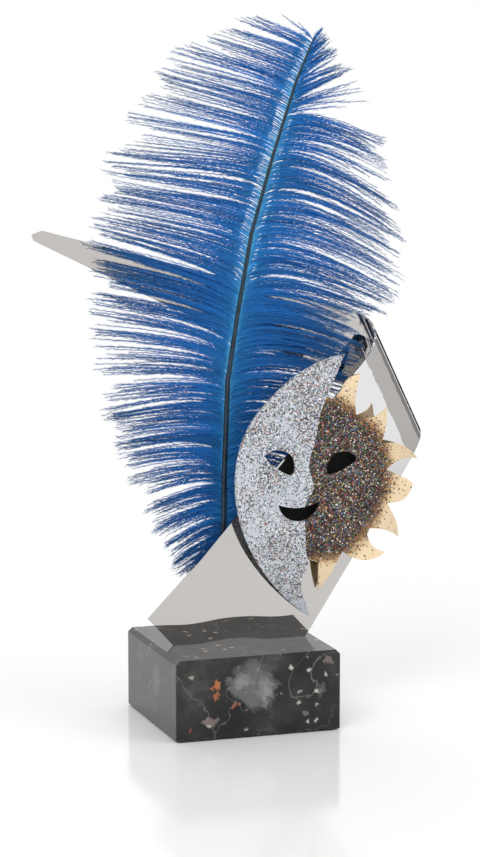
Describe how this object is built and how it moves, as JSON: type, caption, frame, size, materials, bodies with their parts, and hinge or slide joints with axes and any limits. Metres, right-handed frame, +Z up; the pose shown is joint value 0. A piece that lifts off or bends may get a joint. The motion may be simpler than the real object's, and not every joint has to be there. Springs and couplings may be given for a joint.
{
  "type": "carnival mask trophy",
  "caption": "Free-standing display mask: a crescent moon over a rayed sun, held by a curled mirror-steel ribbon on a marble block, with a lift-out plume.",
  "frame": {"origin": "centre of the square underside of the base", "axes": "+Z up along the height, +X to the right along the base's front edge, +Y to the back"},
  "size_m": [0.1875, 0.08, 0.329],
  "materials": {
    "marble": "polished dark grey marble with rust and white inclusions",
    "felt": "black felt",
    "mirror_steel": "mirror-polished stainless sheet",
    "silver_glitter": "silver with coloured glitter",
    "gold_glitter": "gold lacquer fading to dark coloured glitter",
    "turned_steel": "turned stainless",
    "quill": "dyed quill, near black teal",
    "plume": "dyed ostrich barbs, deep blue"
  },
  "bodies": {
    "stand": {"marble_base": "marble", "felt_pad": "felt", "steel_ribbon": "mirror_steel", "moon_face": "silver_glitter", "sun_face": "gold_glitter", "mask_spacers": "turned_steel", "mask_screws": "turned_steel", "mask_patch": "felt", "plate_washers": "turned_steel", "foot_bolts": "turned_steel", "base_washers": "turned_steel", "base_nuts": "turned_steel", "feather_socket": "turned_steel"},
    "feather": {"feather_quill": "quill", "feather_vane_left": "plume", "feather_vane_right": "plume"}
  },
  "joints": [
    {"name": "feather_lift", "type": "slide", "parent": "stand", "child": "feather", "axis": [0, 0, 1], "range_m": [0, 0.03]}
  ]
}
